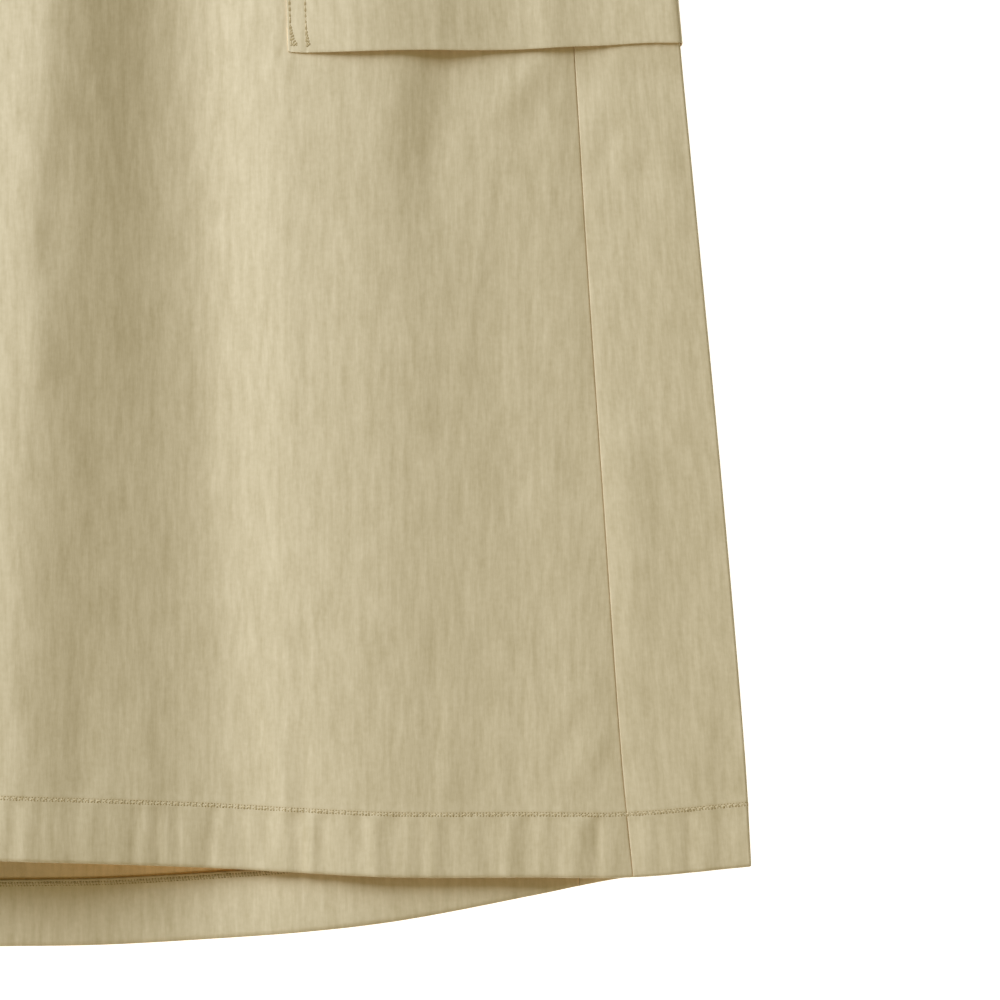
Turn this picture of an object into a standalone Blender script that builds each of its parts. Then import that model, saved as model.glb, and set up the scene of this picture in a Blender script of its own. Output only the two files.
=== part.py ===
"""A cargo skirt laid flat on its back: front up, waist towards +Y, the wearer's left at +X.

Every piece of cloth is a wall over one skin, which runs round the skirt in stations and up it in rows.
Sizes are in millimetres and become metres where the points are placed.
"""

import math

import bmesh
import bpy
from mathutils import Vector

MM = 0.001

# Cloth walls, and the clearance between pieces that touch.
WALL = 1.2
HEM_WALL = 2.2
BAND_WALL = 2.4
GAP = 0.3
LAYER = WALL + GAP

# Lengths along Y. The origin is half way between the back hem and the top of the waistband.
LENGTH = 760.0
BAND_DEPTH = 35.0
HEM_DEPTH = 25.0
BACK_DIP = 32.4
BAND_TOP = LENGTH / 2
WAIST_SEAM = BAND_TOP - BAND_DEPTH
HEM_CORNER = BACK_DIP - LENGTH / 2
PANEL_LENGTH = WAIST_SEAM - HEM_CORNER

# The soft roll of cloth at each side fold: the front lies two radii above the back's outside.
ROLL = 3.2
REST = 2 * ROLL

# Half widths at heights along Y: to the side fold, to the front's seam and to the back's seam.
HEIGHT, FOLD, FRONT_SEAM, BACK_SEAM = range(4)
WIDTHS = (
    (HEM_CORNER, 300.0, 252.8, 231.0),
    (-301.6, 297.6, 248.4, 229.0),
    (-201.6, 289.2, 241.3, 222.8),
    (-101.6, 279.6, 234.6, 215.6),
    (-1.6, 270.8, 228.4, 208.8),
    (180.0, 254.0, 215.0, 192.0),
    (280.0, 227.0, 188.0, 170.0),
    (WAIST_SEAM, 178.0, 146.0, 134.0),
    (BAND_TOP, 174.0, 143.0, 131.0),
)

# How far the hems hang below the side corner, at places across from the centre line.
ACROSS, FRONT_DROP, BACK_DROP = range(3)
HEMS = (
    (0.0, -1.2, BACK_DIP),
    (80.0, 1.2, 29.6),
    (160.0, 5.2, 21.6),
    (216.0, 5.2, 10.4),
    (253.0, 4.8, 4.8),
    (300.0, 0.0, 0.0),
)

# The front's broad folds: crests and troughs between the two side rolls. Places are shares of the half width,
# read straight up to the waist; heights are over the flat front, half way down the panel and at the hem.
AT_WAIST, AT_HEM, MID_RISE, HEM_RISE = range(4)
FOLDS = (
    (-0.93, -0.94, 3.0, 2.0),
    (-0.80, -0.84, 2.0, 1.5),
    (-0.62, -0.68, 8.0, 6.5),
    (-0.47, -0.52, 0.5, 1.0),
    (-0.30, -0.36, 10.5, 9.0),
    (-0.10, -0.20, -0.8, 0.5),
    (0.18, -0.02, 12.5, 14.0),
    (0.21, 0.31, -0.5, 1.5),
    (0.64, 0.46, 11.0, 6.5),
    (0.80, 0.72, 6.0, 3.0),
    (0.88, 0.86, 6.0, 2.5),
    (0.94, 0.94, 3.5, 2.0),
)
FOLDS_GROW = 250.0

# Gathers that the elastic draws in at the waist, uneven in height and length.
GATHERS = 20
GATHER_RISE = 4.0
GATHER_REACH = 150.0
GATHER_UNEVEN = 0.35
BAND_EASE = 0.6

# Stations round the skirt: columns of faces in each panel.
FRONT_COLS = 4 * GATHERS
TOP_COLS = 5
ROLL_COLS = 6
WRAP_COLS = 3
SIDE_COLS = TOP_COLS + ROLL_COLS + WRAP_COLS + 1
BACK_COLS = 16
GIRTH = FRONT_COLS + SIDE_COLS + BACK_COLS + SIDE_COLS

# Rows up the skirt, as shares of the panels' length. Past 1 a row is in the waistband, whose top is at 2.
SOFT_EDGE = 12.0 / PANEL_LENGTH
HEM_LINE = HEM_DEPTH / PANEL_LENGTH
HEM_STEP = HEM_LINE + 1.2 / PANEL_LENGTH
POCKET_LOW = 0.4745
FLAP_LOW = 0.67
POCKET_TOP = 0.752
FLAP_TOP = 0.764
ROWS = (0.0, HEM_LINE, HEM_STEP, 0.10, 0.17, 0.24, 0.31, 0.38, POCKET_LOW - SOFT_EDGE, POCKET_LOW, 0.53, 0.59)
ROWS += (FLAP_LOW - SOFT_EDGE, FLAP_LOW, 0.71, POCKET_TOP, FLAP_TOP, FLAP_TOP + SOFT_EDGE)
ROWS += (0.84, 0.89, 0.93, 0.97, 1.0)
BAND_ROWS = (1.0, 1.5, 2.0)

# Layers of pocket and flap that lie under the side roll, row by row.
ROW, COUNT = range(2)
LAYERS_UNDER = (
    (POCKET_LOW - SOFT_EDGE, 0),
    (POCKET_LOW, 1),
    (FLAP_LOW - SOFT_EDGE, 1),
    (FLAP_LOW, 2),
    (POCKET_TOP, 2),
    (FLAP_TOP, 1),
    (FLAP_TOP + SOFT_EDGE, 0),
)

# The pocket starts half way from the centre to the front's seam and ends on the back, where the wrap does.
POCKET_START = 0.5
WRAP_SHARE = 0.8
POCKET_PUFF = 3.0
FLAP_OVERHANG = 3.0

CLOTH = (0.53, 0.46, 0.29)
POCKET_CLOTH = (0.55, 0.48, 0.31)
BAND_CLOTH = (0.50, 0.43, 0.27)


def ease(share):
    share = min(max(share, 0.0), 1.0)
    return share * share * (3 - 2 * share)


def mix(start, end, share):
    return start + (end - start) * share


def along(table, place, column):
    """A column of a table at a place in its first column, on a smooth curve through the rows."""
    last = len(table) - 1
    low = min(max(sum(row[0] <= place for row in table) - 1, 0), last - 1)
    start, end = table[low], table[low + 1]

    def slope(index):
        before, after = table[max(index - 1, 0)], table[min(index + 1, last)]
        return (after[column] - before[column]) / (after[0] - before[0])

    if place < start[0]:
        return start[column] + slope(low) * (place - start[0])
    if place > end[0]:
        return end[column] + slope(low + 1) * (place - end[0])
    span = end[0] - start[0]
    share = (place - start[0]) / span
    bend_in = slope(low) * span * share * (1 - share) ** 2
    bend_out = slope(low + 1) * span * share**2 * (1 - share)
    return mix(start[column], end[column], ease(share)) + bend_in - bend_out


def layers_under(row):
    """Layers of cloth between the side roll and the surface, straight between the table's rows."""
    for low, high in zip(LAYERS_UNDER, LAYERS_UNDER[1:]):
        if low[ROW] <= row <= high[ROW]:
            return mix(low[COUNT], high[COUNT], (row - low[ROW]) / (high[ROW] - low[ROW]))
    return 0.0


def height(row, hem):
    """Y of a row, on a line whose lower edge is at hem."""
    if row <= 1:
        return mix(hem, WAIST_SEAM, row)
    return mix(WAIST_SEAM, BAND_TOP, row - 1)


def hem_at(across, column):
    return HEM_CORNER - along(HEMS, abs(across), column)


def fold_rise(x, y):
    """Height of the broad folds over the flat front. They grow from nothing at the waist seam."""
    half = along(WIDTHS, y, FOLD)
    down = (WAIST_SEAM - y) / PANEL_LENGTH
    lower = max(2 * down - 1, 0.0)
    flat = 1 - ROLL / half
    lines = [(-flat, 0.0)]
    for fold in FOLDS:
        lines.append((mix(fold[AT_WAIST], fold[AT_HEM], down), mix(fold[MID_RISE], fold[HEM_RISE], lower)))
    lines.append((flat, 0.0))
    for (left, low), (right, high) in zip(lines, lines[1:]):
        if x / half <= right:
            share = (x / half - left) / (right - left)
            return mix(low, high, ease(share)) * ease((WAIST_SEAM - y) / FOLDS_GROW)
    return 0.0


def gather_rise(across, y):
    """Height of the gathers at a share of the front's width: full at the waist seam, gone below their reach."""
    wave = GATHERS * (across + 1) / 2
    which = math.floor(wave)
    reach = GATHER_REACH * (1 + GATHER_UNEVEN * math.sin(2.4 * which))
    full = GATHER_RISE * (1 - GATHER_UNEVEN / 2 * math.cos(1.7 * which))
    if y > WAIST_SEAM:
        fade = 1 - BAND_EASE * (y - WAIST_SEAM) / BAND_DEPTH
    else:
        fade = ease(1 - (WAIST_SEAM - y) / reach)
    return full * fade * (1 - math.cos(math.tau * wave)) / 2


def front_point(across, row):
    y = height(row, hem_at(across * WIDTHS[0][FRONT_SEAM], FRONT_DROP))
    x = across * along(WIDTHS, y, FRONT_SEAM)
    return Vector((x, y, REST + fold_rise(x, y) + gather_rise(across, y)))


def back_point(across, row):
    y = height(row, hem_at(across * WIDTHS[0][BACK_SEAM], BACK_DROP))
    return Vector((across * along(WIDTHS, y, BACK_SEAM), y, 0.0))


def side_point(hand, station, row):
    """A point of the side panel: over the front to the roll, round it, and back under to the back's seam."""
    lift = LAYER * layers_under(row)
    seam, corner = WIDTHS[0][FRONT_SEAM], WIDTHS[0][FOLD]
    if station <= TOP_COLS:
        share = station / TOP_COLS
        y = height(row, hem_at(mix(seam, corner - ROLL, share), FRONT_DROP))
        x = mix(along(WIDTHS, y, FRONT_SEAM), along(WIDTHS, y, FOLD) - ROLL, share)
        return Vector((hand * x, y, REST + fold_rise(hand * x, y) + lift * ease(share)))
    if station <= TOP_COLS + ROLL_COLS:
        turn = math.pi * (station - TOP_COLS) / ROLL_COLS
        out = ROLL * (1 - math.sin(turn))
        y = height(row, hem_at(corner - out, FRONT_DROP if turn < math.pi / 2 else BACK_DROP))
        return Vector((hand * (along(WIDTHS, y, FOLD) - out), y, lift + ROLL * (1 + math.cos(turn))))
    under = station - TOP_COLS - ROLL_COLS
    if under <= WRAP_COLS:
        share = WRAP_SHARE * under / WRAP_COLS
    else:
        share = mix(WRAP_SHARE, 1.0, under - WRAP_COLS)
    y = height(row, hem_at(mix(corner - ROLL, WIDTHS[0][BACK_SEAM], share), BACK_DROP))
    x = mix(along(WIDTHS, y, FOLD) - ROLL, along(WIDTHS, y, BACK_SEAM), share)
    return Vector((hand * x, y, lift * min(WRAP_COLS + 1 - under, 1.0)))


def skin(station, row):
    """The skirt's outer face. Stations go round from the front's -X seam, over +X, under the back and up again."""
    station %= GIRTH
    if station <= FRONT_COLS:
        return front_point(2 * station / FRONT_COLS - 1, row)
    station -= FRONT_COLS
    if station <= SIDE_COLS:
        return side_point(1, station, row)
    station -= SIDE_COLS
    if station <= BACK_COLS:
        return back_point(1 - 2 * station / BACK_COLS, row)
    return side_point(-1, SIDE_COLS - (station - BACK_COLS), row)


def frame_at(station, row):
    """The skin's directions round and up at a point, and its outward normal."""
    step, rise = 0.05, 0.0005
    round_way = (skin(station + step, row) - skin(station - step, row)).normalized()
    up_way = (skin(station, row + rise) - skin(station, row - rise)).normalized()
    return round_way, up_way, round_way.cross(up_way).normalized()


def puff(station, row):
    """How far the pocket stands off the front, most in the middle of its open lower edge."""
    from_front = min(station, FRONT_COLS - station) / FRONT_COLS
    start = (1 - POCKET_START) / 2
    top_share = TOP_COLS / FRONT_COLS
    share = (start - from_front) / (start + top_share)
    if not 0 <= share <= 1:
        return 0.0
    down = (POCKET_TOP - row) / (POCKET_TOP - POCKET_LOW)
    return POCKET_PUFF * math.sin(math.pi * share) * mix(0.35, 1.0, ease(down))


def sew(name, stations, rows, colour, wall=WALL, out=None, trim=(0.0, 0.0, 0.0), hem=False):
    """One cut piece: a grid laid on the skin, moved out by out, with its wall on the inside.

    trim takes the ends, the top and the foot back, in millimetres; a negative one reaches past them.
    """
    ends, top, foot = trim
    bm = bmesh.new()
    columns, levels = len(stations) - 1, len(rows) - 1
    bmesh.ops.create_grid(bm, x_segments=columns, y_segments=levels, size=1.0)
    hem_points = []
    for vert in bm.verts:
        column = round((vert.co.x + 1) / 2 * columns)
        level = round((vert.co.y + 1) / 2 * levels)
        station, row = stations[column], rows[level]
        round_way, up_way, outward = frame_at(station, row)
        point = skin(station, row)
        if out:
            point += outward * out(station, row)
        point += round_way * ends * ((column == 0) - (column == columns))
        point += up_way * (foot * (level == 0) - top * (level == levels))
        vert.co = point * MM
        if row <= HEM_LINE:
            hem_points.append(vert)
    if stations[-1] - stations[0] == GIRTH:
        bmesh.ops.remove_doubles(bm, verts=bm.verts, dist=GAP * MM / 10)
    bm.verts.index_update()
    hem_indices = [vert.index for vert in hem_points]
    mesh = bpy.data.meshes.new(name)
    bm.to_mesh(mesh)
    bm.free()
    mesh.shade_smooth()
    piece = bpy.data.objects.new(name, mesh)
    skirt.objects.link(piece)
    mesh.materials.append(cloth(name, colour))
    thick = piece.modifiers.new("wall", "SOLIDIFY")
    thick.offset = -1
    thick.thickness = wall * MM
    if hem:
        piece.vertex_groups.new(name="hem").add(hem_indices, 1.0, "REPLACE")
        thick.vertex_group = "hem"
        thick.thickness = HEM_WALL * MM
        thick.thickness_vertex_group = wall / HEM_WALL
    return piece


def cloth(name, colour):
    material = bpy.data.materials.new(name + "_cloth")
    material.use_nodes = True
    shader = material.node_tree.nodes["Principled BSDF"]
    shader.inputs["Base Color"].default_value = (*colour, 1.0)
    shader.inputs["Roughness"].default_value = 0.85
    shader.inputs["Metallic"].default_value = 0.0
    return material


for old in list(bpy.data.objects):
    bpy.data.objects.remove(old)
skirt = bpy.data.collections.new("cargo_skirt")
bpy.context.scene.collection.children.link(skirt)

# Panels, a seam's clearance apart, with the hem turned up inside as a second layer.
SEAM = (GAP / 2, GAP / 2, 0.0)
left_seam = FRONT_COLS + SIDE_COLS
sew("front", range(FRONT_COLS + 1), ROWS, CLOTH, trim=SEAM, hem=True)
sew("side_left", range(FRONT_COLS, left_seam + 1), ROWS, CLOTH, trim=SEAM, hem=True)
sew("back", range(left_seam, left_seam + BACK_COLS + 1), ROWS, CLOTH, trim=SEAM, hem=True)
sew("side_right", range(-SIDE_COLS, 1), ROWS, CLOTH, trim=SEAM, hem=True)

# The waistband, an elastic in a casing, closed all round.
sew("waistband", range(GIRTH + 1), BAND_ROWS, BAND_CLOTH, wall=BAND_WALL, trim=(0.0, 0.0, GAP / 2))

# Pockets on front and side panel, wrapped round the roll, each with a flap over its mouth.
pocket_rows = [row for row in ROWS if POCKET_LOW <= row <= POCKET_TOP]
flap_rows = [row for row in ROWS if FLAP_LOW <= row <= FLAP_TOP]
inset = round(FRONT_COLS * (1 - POCKET_START) / 2)
wrapped = TOP_COLS + ROLL_COLS + WRAP_COLS


def pocket_out(station, row):
    return LAYER + puff(station, row)


def flap_out(station, row):
    return LAYER * (1 if row == FLAP_TOP else 2) + puff(station, row)


for hand, stations in (
    ("left", range(FRONT_COLS - inset, FRONT_COLS + wrapped + 1)),
    ("right", range(-wrapped, inset + 1)),
):
    sew(f"pocket_{hand}", stations, pocket_rows, POCKET_CLOTH, out=pocket_out)
    sew(f"flap_{hand}", stations, flap_rows, POCKET_CLOTH, out=flap_out, trim=(-FLAP_OVERHANG, 0.0, 0.0))
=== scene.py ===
"""A cargo skirt laid flat on a white table: cotton panels, wrap-round pockets with flaps, elastic waistband.

Lengths are in millimetres until a mesh is made: +X is the wearer's left, +Y the waist, +Z up out of the front.
"""

import math

import bpy
import numpy as np
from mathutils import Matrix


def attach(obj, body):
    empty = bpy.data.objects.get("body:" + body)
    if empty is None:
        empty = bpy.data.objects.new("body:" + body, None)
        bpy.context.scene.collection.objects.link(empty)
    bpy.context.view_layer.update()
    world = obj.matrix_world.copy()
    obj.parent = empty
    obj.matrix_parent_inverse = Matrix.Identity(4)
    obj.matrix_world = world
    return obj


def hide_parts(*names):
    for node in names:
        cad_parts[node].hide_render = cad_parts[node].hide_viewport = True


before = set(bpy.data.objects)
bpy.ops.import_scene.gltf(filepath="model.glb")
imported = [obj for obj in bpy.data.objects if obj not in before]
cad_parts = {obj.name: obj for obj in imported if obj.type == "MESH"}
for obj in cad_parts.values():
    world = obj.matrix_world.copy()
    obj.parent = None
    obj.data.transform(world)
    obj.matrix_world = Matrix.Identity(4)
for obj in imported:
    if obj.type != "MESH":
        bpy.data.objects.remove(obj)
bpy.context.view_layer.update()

# ---- Table and studio -----------------------------------------------------------------------------------------
# A matt white table top lit a little from inside, as in a product studio, so that it keeps no hard shadows.
# A large cool soft box stands low, up and to the left; a weak warm one fills in from the hem's side, and a warm
# room from all round. The camera looks straight down.


def linear(code):
    """A colour given as sRGB hex, in the linear values that shaders and lights take."""
    values = [int(code[place : place + 2], 16) / 255 for place in (1, 3, 5)]
    return tuple(v / 12.92 if v <= 0.04045 else ((v + 0.055) / 1.055) ** 2.4 for v in values) + (1.0,)


def add(tree, kind, inputs=(), **settings):
    """Adds a node with its settings; each input, by name or number, is a value or another node's output."""
    node = tree.nodes.new(kind)
    for name, value in settings.items():
        setattr(node, name, value)
    for name, value in dict(inputs).items():
        if isinstance(value, bpy.types.NodeSocket):
            tree.links.new(value, node.inputs[name])
        else:
            node.inputs[name].default_value = value
    return node


table_white = bpy.data.materials.new("matt_white_acrylic")
table_white.use_nodes = True
shader = table_white.node_tree.nodes["Principled BSDF"]
shader.inputs["Base Color"].default_value = linear("#F2F2F2")
shader.inputs["Roughness"].default_value = 0.9
shader.inputs["Emission Color"].default_value = linear("#FFFFFF")
shader.inputs["Emission Strength"].default_value = 0.9

half_table, table_drop = 4.0, 0.0003
table_mesh = bpy.data.meshes.new("table_top")
corners = [(x * half_table, y * half_table, -table_drop) for x, y in ((-1, -1), (1, -1), (1, 1), (-1, 1))]
table_mesh.from_pydata(corners, [], [(0, 1, 2, 3)])
table_mesh.materials.append(table_white)
table_top = bpy.data.objects.new("table_top", table_mesh)
bpy.context.scene.collection.objects.link(table_top)

view_centre, view_side, camera_height, cloth_height = (0.200, -0.2016), 0.400, 2.2, 0.008
eye = bpy.data.cameras.new("camera")
eye.sensor_width = 36.0
eye.lens = eye.sensor_width * camera_height / view_side
camera = bpy.data.objects.new("camera", eye)
camera.location = (*view_centre, camera_height + cloth_height)
bpy.context.scene.collection.objects.link(camera)
bpy.context.scene.camera = camera


def soft_light(name, turn, height, energy, colour, distance=7.0, size=5.0):
    """A round soft box aimed at the view's centre: turn is its way round from +X, height its angle up."""
    turn, height = math.radians(turn), math.radians(height)
    lamp = bpy.data.lights.new(name, "AREA")
    lamp.shape, lamp.size, lamp.energy, lamp.color = "DISK", size, energy, linear(colour)[:3]
    box = bpy.data.objects.new(name, lamp)
    way = (math.cos(height) * math.cos(turn), math.cos(height) * math.sin(turn), math.sin(height))
    box.location = [c + w * distance for c, w in zip((*view_centre, 0.0), way)]
    box.rotation_euler = (math.pi / 2 - height, 0.0, turn + math.pi / 2)
    bpy.context.scene.collection.objects.link(box)


soft_light("soft_box", turn=132.0, height=27.0, energy=950.0, colour="#E7EDFF")
soft_light("fill_box", turn=-115.0, height=40.0, energy=162.0, colour="#FFEDE0")

room = bpy.data.worlds.new("warm_room")
room.use_nodes = True
room.node_tree.nodes["Background"].inputs["Color"].default_value = linear("#FFEA9A")
room.node_tree.nodes["Background"].inputs["Strength"].default_value = 0.286
bpy.context.scene.world = room
bpy.context.scene.view_settings.view_transform = "Standard"

# ---- Front panel ----------------------------------------------------------------------------------------------
# The large front piece: slubby plain-woven cotton poplin cut on the straight grain, gathered at the top.
# Its hem is turned up twice inside and topstitched, which puckers it; it lies in broad soft folds.

mm = 0.001
length, band_depth, back_dip = 760.0, 35.0, 32.4
band_top = length / 2
waist_seam = band_top - band_depth
hem_corner = back_dip - length / 2
panel_length = waist_seam - hem_corner
flat_height, side_turn, pocket_layer = 6.4, 1.0, 1.0


def ease(share):
    """A smooth step from 0 to 1, level at both ends."""
    share = np.clip(share, 0.0, 1.0)
    return share * share * (3 - 2 * share)


def mix(start, end, share):
    return start + (end - start) * share


def columns(names, *rows):
    """A short table as one array a column, by name."""
    return dict(zip(names.split(), np.array(rows, float).T))


def read(table, place, name):
    """A column at places in the table's first column, on a smooth curve through the rows."""
    at, value = next(iter(table.values())), table[name]
    slope = np.empty_like(value)
    slope[1:-1] = (value[2:] - value[:-2]) / (at[2:] - at[:-2])
    slope[0] = (value[1] - value[0]) / (at[1] - at[0])
    slope[-1] = (value[-1] - value[-2]) / (at[-1] - at[-2])
    low = np.clip(np.searchsorted(at, place, "right") - 1, 0, len(at) - 2)
    span = at[low + 1] - at[low]
    share = (place - at[low]) / span
    near = np.clip(share, 0.0, 1.0)
    bend = slope[low] * span * near * (1 - near) ** 2 - slope[low + 1] * span * near**2 * (1 - near)
    past = slope[low] * span * np.minimum(share, 0) + slope[low + 1] * span * np.maximum(share - 1, 0)
    return mix(value[low], value[low + 1], ease(near)) + bend + past


half_widths = columns(
    "height fold front_seam back_seam",
    (hem_corner, 300.6, 252.8, 231.0),
    (-301.6, 297.9, 248.4, 229.0),
    (-201.6, 289.4, 241.3, 222.8),
    (-101.6, 279.9, 234.6, 215.6),
    (-1.6, 270.3, 228.4, 208.8),
    (180.0, 254.0, 215.0, 192.0),
    (280.0, 227.0, 188.0, 170.0),
    (waist_seam, 178.0, 146.0, 134.0),
    (band_top, 174.0, 143.0, 131.0),
)

# How far each hem hangs below the side corner, from the centre line outwards.
hem_drops = columns(
    "across front back",
    (0.0, -3.2, back_dip),
    (40.0, -1.6, 31.8),
    (80.0, 0.3, 29.6),
    (120.0, 2.4, 26.4),
    (160.0, 4.1, 21.6),
    (216.0, 4.2, 11.2),
    (253.0, 4.2, 4.4),
    (300.0, 0.0, 0.0),
)

# Crests and troughs of the broad folds, as shares of the flat half width at the waist and at the hem, with their
# height over the flat front half way down and at the hem. The first and the last row are the side folds.
folds = columns(
    "waist hem mid_rise hem_rise",
    (-1.0, -1.0, 3.0, 1.2),
    (-0.93, -0.94, 4.0, 2.2),
    (-0.80, -0.84, 2.2, 1.7),
    (-0.62, -0.68, 8.0, 6.5),
    (-0.47, -0.52, 0.5, 1.0),
    (-0.30, -0.36, 10.5, 9.0),
    (-0.10, -0.20, -0.6, 0.5),
    (0.07, -0.09, 8.9, 10.6),
    (0.155, 0.0, 12.8, 13.4),
    (0.172, 0.02, 12.3, 13.1),
    (0.186, 0.12, 7.8, 7.2),
    (0.212, 0.256, 0.3, 0.8),
    (0.25, 0.305, -1.1, 0.1),
    (0.44, 0.415, 8.4, 4.8),
    (0.615, 0.507, 11.4, 6.6),
    (0.76, 0.70, 7.2, 4.6),
    (0.88, 0.86, 6.6, 3.7),
    (0.95, 0.95, 7.3, 3.2),
    (1.0, 1.0, 7.5, 2.7),
)
folds_grow = 250.0


def fold_rise(x, y):
    """Height of the broad folds over the flat front, on a curve that never swings past its crests."""
    half = read(half_widths, y, "fold")
    down = (waist_seam - y) / panel_length
    lower = np.maximum(2 * down - 1, 0.0)
    place = [mix(w, h, down) for w, h in zip(folds["waist"], folds["hem"])]
    rise = [mix(m, h, lower) for m, h in zip(folds["mid_rise"], folds["hem_rise"])]
    pitch = [(high - low) / (right - left) for left, right, low, high in zip(place, place[1:], rise, rise[1:])]
    slope = [0 * x]
    for before, after in zip(pitch, pitch[1:]):
        same = before * after > 0
        slope.append(np.where(same, 2 * before * after / np.where(same, before + after, 1.0), 0.0))
    slope.append(0 * x)
    just_inside = 0.9999
    share, total = np.clip(x / (half - side_turn), -just_inside, just_inside), 0 * x
    for k in range(len(pitch)):
        span = place[k + 1] - place[k]
        near = (share - place[k]) / span
        curve = mix(rise[k], rise[k + 1], ease(near)) + span * near * (1 - near) * (
            slope[k] * (1 - near) - slope[k + 1] * near
        )
        total = np.where((near >= 0) & (near < 1), curve, total)
    return total * ease((waist_seam - y) / folds_grow)


gathers, gather_rise, gather_reach, gather_uneven, band_ease = 20, 4.0, 150.0, 0.35, 0.6
reach_sway, rise_sway = 2.4, 1.7


def gathered(across, y):
    """Height of the gathers that the elastic draws in: full at the waist seam, gone below their reach."""
    wave = gathers * (across + 1) / 2
    which = np.floor(wave)
    reach = gather_reach * (1 + gather_uneven * np.sin(reach_sway * which))
    full = gather_rise * (1 - gather_uneven / 2 * np.cos(rise_sway * which))
    above = 1 - band_ease * (y - waist_seam) / band_depth
    fade = np.where(y > waist_seam, above, ease(1 - (waist_seam - y) / reach))
    return full * fade * (1 - np.cos(math.tau * wave)) / 2


# Creases that the cloth has from being handled: each is a soft ridge, or a trough where its rise is below 0.
creases = [
    # x0, y0, x1, y1, half breadth, rise
    (184.0, 40.0, 168.0, -125.0, 12.0, -1.7),
    (231.0, -8.0, 191.0, -58.0, 7.0, 0.7),
    (239.0, -10.0, 230.0, -62.0, 6.0, -0.3),
    (163.0, -8.0, 156.0, -60.0, 6.0, 0.3),
    (223.0, -324.0, 243.0, -290.0, 3.6, 0.20),
    (236.0, -326.0, 247.0, -296.0, 3.2, -0.20),
    (219.0, -300.0, 240.0, -270.0, 3.6, 0.18),
    (217.0, -322.0, 235.0, -278.0, 4.0, -0.20),
    (259.0, -30.0, 248.0, -84.0, 4.0, 0.30),
    (249.0, -74.0, 266.0, -120.0, 4.0, 0.25),
    (251.0, -44.0, 236.0, -76.0, 3.5, -0.22),
    (264.0, -34.0, 274.0, -135.0, 9.0, 0.42),
    (249.0, -150.0, 257.0, -275.0, 10.0, 0.9),
    (114.3, -19.0, 107.5, 178.0, 1.1, -0.18),
    (115.4, -28.0, 114.0, 20.0, 1.0, -0.20),
    (232.5, -49.0, 239.0, -57.0, 2.0, 0.14),
    (234.0, -66.0, 241.0, -76.0, 2.2, -0.14),
    (235.5, -80.0, 241.0, -88.0, 2.0, 0.15),
    (236.0, -94.0, 243.0, -99.0, 2.0, 0.12),
    (236.5, -106.0, 243.0, -112.0, 2.0, -0.13),
    (248.5, -296.0, 254.0, -303.0, 2.0, 0.14),
    (249.5, -306.0, 255.5, -312.0, 2.0, -0.13),
    (114.5, -21.0, 111.5, -25.0, 1.0, -0.25),
    (26.0, -42.0, 21.0, -128.0, 7.0, -1.0),
    (15.0, -120.0, 19.0, -165.0, 6.0, 0.6),
    (56.0, -262.0, 60.0, -345.0, 6.0, 0.5),
    (36.0, -250.0, 32.0, -345.0, 6.0, -0.4),
    (84.0, -120.0, 78.0, -250.0, 6.0, -0.35),
]


def scattered(seed, count, area, reach, breadth, rise, lean):
    """Many small soft creases, near enough upright, spread by chance over an area."""
    chance = np.random.default_rng(seed)
    (left, right), (low, high) = area
    x, y = chance.uniform(left, right, count), chance.uniform(low, high, count)
    long, tilt = chance.uniform(*reach, count), chance.normal(0.0, lean, count)
    broad, tall = chance.uniform(*breadth, count), chance.normal(0.0, rise, count)
    return list(zip(x - tilt * long / 2, y - long / 2, x + tilt * long / 2, y + long / 2, broad, tall))


def crease_rise(x, y, lines, soft=0.4):
    """Height of the creases at each point: rounded across, and fading out over a share of both ends."""
    total = 0 * x
    for x0, y0, x1, y1, breadth, rise in lines:
        way, up = x1 - x0, y1 - y0
        share = ((x - x0) * way + (y - y0) * up) / (way * way + up * up)
        near = (share > 0) & (share < 1)
        off = ((x[near] - x0) * up - (y[near] - y0) * way) / math.hypot(way, up)
        fade = ease(share[near] / soft) * ease((1 - share[near]) / soft)
        total[near] += rise * np.exp(-((off / breadth) ** 2)) * fade
    return total


hem_stitch, back_stitch, turned_over = 24.8, 23.2, 2.0
hem_pucker_pitch, hem_pucker_rise, pucker_fade = 10.0, 0.24, 0.12


def puckers(seed, reach, drop, pitch=hem_pucker_pitch, rise=hem_pucker_rise):
    """Small waves that the hem's stitching draws in: upright, close together, from the row down to the edge."""
    chance = np.random.default_rng(seed)
    lines, x, way, below_edge = [], -reach, 1.0, 8.0
    while x < reach:
        edge = hem_corner - float(read(hem_drops, abs(x), drop))
        lean, tall = chance.normal(0.0, 0.9), rise * min(0.3 + chance.exponential(0.7), 2.4)
        top = hem_stitch + chance.uniform(-0.5, 1.5)
        broad = pitch * chance.uniform(0.16, 0.45)
        lines.append((x + lean, edge - below_edge, x - lean, edge + top, broad, way * tall))
        x += pitch * chance.uniform(0.25, 0.9)
        way = -way
    return lines


hem_lines = puckers(11, 300.0, "front")
whole_front = (-290, 290), (-350, 300)
front_lines = creases + scattered(5, 170, whole_front, (50, 170), (3.0, 8.0), 0.16, 0.07)
front_lines += scattered(6, 150, whole_front, (14, 50), (1.8, 4.0), 0.06, 0.2)


def edge_height(share, hem):
    """Y at a share up the panel from its hem; past 1 it is in the waistband, whose top is at 2."""
    return np.where(share <= 1, mix(hem, waist_seam, share), mix(waist_seam, band_top, share - 1))


def hem_at(across, drop):
    """Y of a hem at places across, from the table of how far it drops."""
    return hem_corner - read(hem_drops, np.abs(across), drop)


# Near the hem the centre fold stands up more: the middle of that, how far it reaches each way, and its height.
lift_x, lift_y, lift_breadth, lift_length, hem_lift = 25.0, -350.0, 75.0, 45.0, 3.6


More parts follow.
